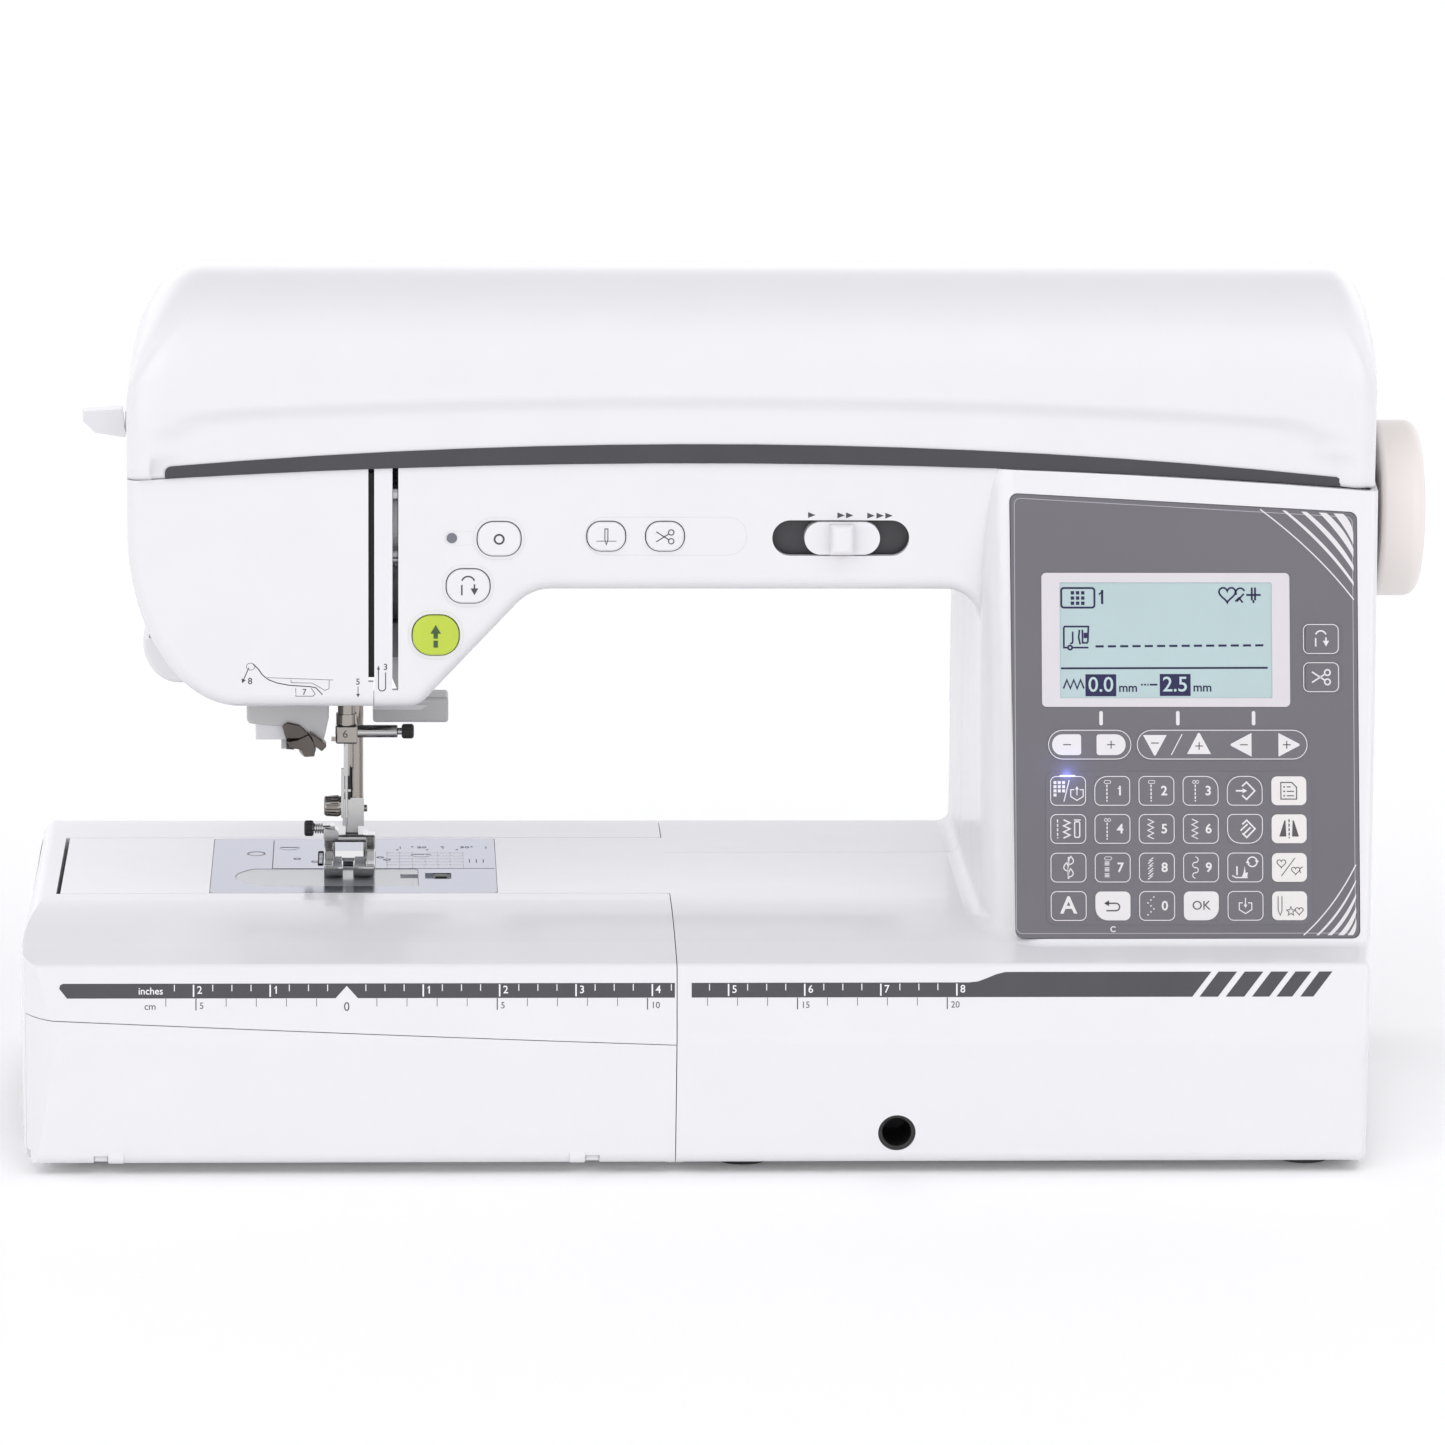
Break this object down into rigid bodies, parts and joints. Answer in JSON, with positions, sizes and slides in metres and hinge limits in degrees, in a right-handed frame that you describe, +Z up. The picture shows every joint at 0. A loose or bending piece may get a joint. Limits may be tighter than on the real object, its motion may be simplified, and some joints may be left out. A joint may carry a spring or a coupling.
{
  "type": "household sewing machine",
  "caption": "Computerised free-arm sewing machine with hinged lid, operation panel, slide-off accessory table, handwheel and needle mechanism.",
  "frame": {"origin": "on the table plane, below the centre of the bounding box", "axes": "+X right along the arm, +Y to the back, +Z up"},
  "size_m": [0.48, 0.2358, 0.2906],
  "materials": {
    "gloss_white": "glossy moulded",
    "warm_white": "satin moulded",
    "light_grey": "satin",
    "dark_grey": "satin",
    "panel_grey": "satin painted",
    "screen": "clear over liquid crystal",
    "key_film": "printed film",
    "green": "backlit",
    "lamp": "translucent",
    "steel": "brushed",
    "chrome": "polished",
    "casting": "cast",
    "brass": "nickel over brass",
    "black": "moulded",
    "rubber": "matte",
    "clear": "clear plastic",
    "brown": "moulded"
  },
  "bodies": {
    "machine": {"front_cover": "gloss_white", "thread_channel_cover": "gloss_white", "face_cover": "gloss_white", "rear_cover": "gloss_white", "free_arm_cover": "gloss_white", "bottom_plate": "light_grey", "rubber_feet": "rubber", "panel_frame": "panel_grey", "display_bezel": "light_grey", "display_glass": "screen", "key_pads": "key_film", "status_lamp": "lamp", "slider_track": "dark_grey", "motor": "black", "drive_belt": "rubber", "main_frame": "casting", "bobbin_case": "black", "needle_plate": "steel", "bobbin_cover": "clear", "plate_screws": "steel", "side_cutter": "gloss_white", "top_deck": "gloss_white", "spool_pin": "light_grey", "knee_socket": "black", "mains_inlet": "black", "foot_jack": "black"},
    "lid": {"top_cover": "gloss_white", "trim_strip": "dark_grey"},
    "handle": {"carrying_handle": "light_grey"},
    "drive": {"handwheel": "warm_white", "main_shaft": "steel"},
    "motor_rotor": {"motor_pulley": "steel"},
    "lower_drive": {"lower_shaft": "steel"},
    "hook": {"rotary_hook": "black"},
    "bobbin": {"bobbin": "clear"},
    "needle_unit": {"needle_bar": "steel", "clamp_screw": "black", "needle": "chrome"},
    "presser": {"presser_bar": "steel", "foot_holder": "chrome", "presser_foot": "chrome"},
    "presser_lever": {"presser_lever": "light_grey"},
    "take_up": {"take_up_lever": "chrome"},
    "threader_lever": {"threader_lever": "gloss_white"},
    "threader": {"threader_unit": "light_grey"},
    "feed": {"feed_dog": "steel"},
    "feed_switch": {"feed_switch": "light_grey"},
    "mains_rocker": {"mains_switch": "black"},
    "speed_knob": {"speed_slider": "gloss_white"},
    "key_start": {"start_stop_button": "green"},
    "key_reverse": {"reverse_button": "gloss_white"},
    "key_reinforce": {"reinforcement_button": "gloss_white"},
    "key_needle": {"needle_position_button": "gloss_white"},
    "key_cutter": {"thread_cutter_button": "gloss_white"},
    "winder": {"winder_shaft": "light_grey"},
    "spool_cap": {"spool_cap": "light_grey"},
    "latch": {"bobbin_latch": "black"},
    "table": {"table_cover": "gloss_white", "table_feet": "rubber"},
    "door": {"table_door": "gloss_white"}
  },
  "joints": [
    {"name": "lid_hinge", "type": "hinge", "parent": "machine", "child": "lid", "pos_m": [0, 0.0817, 0.25], "axis": [-1, 0, 0], "range_deg": [0, 70]},
    {"name": "handle_hinge", "type": "hinge", "parent": "machine", "child": "handle", "pos_m": [0, 0.11, 0.214], "axis": [1, 0, 0], "range_deg": [0, 160]},
    {"name": "main_shaft_spin", "type": "hinge", "parent": "machine", "child": "drive", "pos_m": [0, 0, 0.2065], "axis": [1, 0, 0], "continuous": true},
    {"name": "motor_spin", "type": "hinge", "parent": "machine", "child": "motor_rotor", "pos_m": [0, 0.008, 0.12], "axis": [1, 0, 0], "continuous": true},
    {"name": "lower_shaft_spin", "type": "hinge", "parent": "machine", "child": "lower_drive", "pos_m": [0, 0, 0.036], "axis": [1, 0, 0], "continuous": true},
    {"name": "hook_spin", "type": "hinge", "parent": "machine", "child": "hook", "pos_m": [-0.1286, -0.017, 0], "axis": [0, 0, 1], "continuous": true},
    {"name": "bobbin_spin", "type": "hinge", "parent": "machine", "child": "bobbin", "pos_m": [-0.1286, -0.017, 0], "axis": [0, 0, 1], "continuous": true},
    {"name": "winder_spin", "type": "hinge", "parent": "machine", "child": "winder", "pos_m": [0.13, 0, 0], "axis": [0, 0, 1], "continuous": true},
    {"name": "needle_stroke", "type": "slide", "parent": "machine", "child": "needle_unit", "axis": [0, 0, 1], "range_m": [-0.031, 0]},
    {"name": "take_up_swing", "type": "hinge", "parent": "machine", "child": "take_up", "pos_m": [0, 0.004, 0.19], "axis": [1, 0, 0], "range_deg": [0, 60]},
    {"name": "presser_lever_turn", "type": "hinge", "parent": "machine", "child": "presser_lever", "pos_m": [-0.116, 0, 0.156], "axis": [0, -1, 0], "range_deg": [0, 30]},
    {"name": "presser_lift", "type": "slide", "parent": "machine", "child": "presser", "axis": [0, 0, 1], "range_m": [0, 0.0061]},
    {"name": "threader_lever_slide", "type": "slide", "parent": "machine", "child": "threader_lever", "axis": [0, 0, 1], "range_m": [-0.038, 0]},
    {"name": "threader_slide", "type": "slide", "parent": "machine", "child": "threader", "axis": [0, 0, 1], "range_m": [-0.0135, 0]},
    {"name": "feed_switch_slide", "type": "slide", "parent": "machine", "child": "feed_switch", "axis": [1, 0, 0], "range_m": [0, 0.0145]},
    {"name": "feed_drop", "type": "slide", "parent": "machine", "child": "feed", "axis": [0, 0, 1], "range_m": [-0.003, 0]},
    {"name": "mains_rocker_turn", "type": "hinge", "parent": "machine", "child": "mains_rocker", "pos_m": [0.2197, 0, 0.055], "axis": [0, 1, 0], "range_deg": [-8, 8]},
    {"name": "speed_slide", "type": "slide", "parent": "machine", "child": "speed_knob", "axis": [1, 0, 0], "range_m": [-0.0104, 0.0094]},
    {"name": "spool_cap_slide", "type": "slide", "parent": "machine", "child": "spool_cap", "axis": [1, 0, 0], "range_m": [-0.028, 0]},
    {"name": "latch_slide", "type": "slide", "parent": "machine", "child": "latch", "axis": [1, 0, 0], "range_m": [-0.002, 0]},
    {"name": "table_slide", "type": "slide", "parent": "machine", "child": "table", "axis": [1, 0, 0], "range_m": [-0.212, 0]},
    {"name": "door_hinge", "type": "hinge", "parent": "table", "child": "door", "pos_m": [-0.128, -0.1105, 0.0066], "axis": [1, 0, 0], "range_deg": [0, 80]},
    {"name": "key_start_press", "type": "slide", "parent": "machine", "child": "key_start", "axis": [0, 1, 0], "range_m": [0, 0.001], "stiffness_N_per_m": 300},
    {"name": "key_reverse_press", "type": "slide", "parent": "machine", "child": "key_reverse", "axis": [0, 1, 0], "range_m": [0, 0.001], "stiffness_N_per_m": 300},
    {"name": "key_reinforce_press", "type": "slide", "parent": "machine", "child": "key_reinforce", "axis": [0, 1, 0], "range_m": [0, 0.001], "stiffness_N_per_m": 300},
    {"name": "key_needle_press", "type": "slide", "parent": "machine", "child": "key_needle", "axis": [0, 1, 0], "range_m": [0, 0.001], "stiffness_N_per_m": 300},
    {"name": "key_cutter_press", "type": "slide", "parent": "machine", "child": "key_cutter", "axis": [0, 1, 0], "range_m": [0, 0.001], "stiffness_N_per_m": 300}
  ],
  "couplings": [
    {"joint": "motor_spin", "follows": "main_shaft_spin", "ratio": 2.4},
    {"joint": "lower_shaft_spin", "follows": "main_shaft_spin", "ratio": 1},
    {"joint": "hook_spin", "follows": "main_shaft_spin", "ratio": 2},
    {"joint": "presser_lift", "follows": "presser_lever_turn", "m_per_rad": 0.0114},
    {"joint": "threader_slide", "follows": "threader_lever_slide", "ratio": 0.35},
    {"joint": "feed_drop", "follows": "feed_switch_slide", "ratio": -0.2}
  ]
}
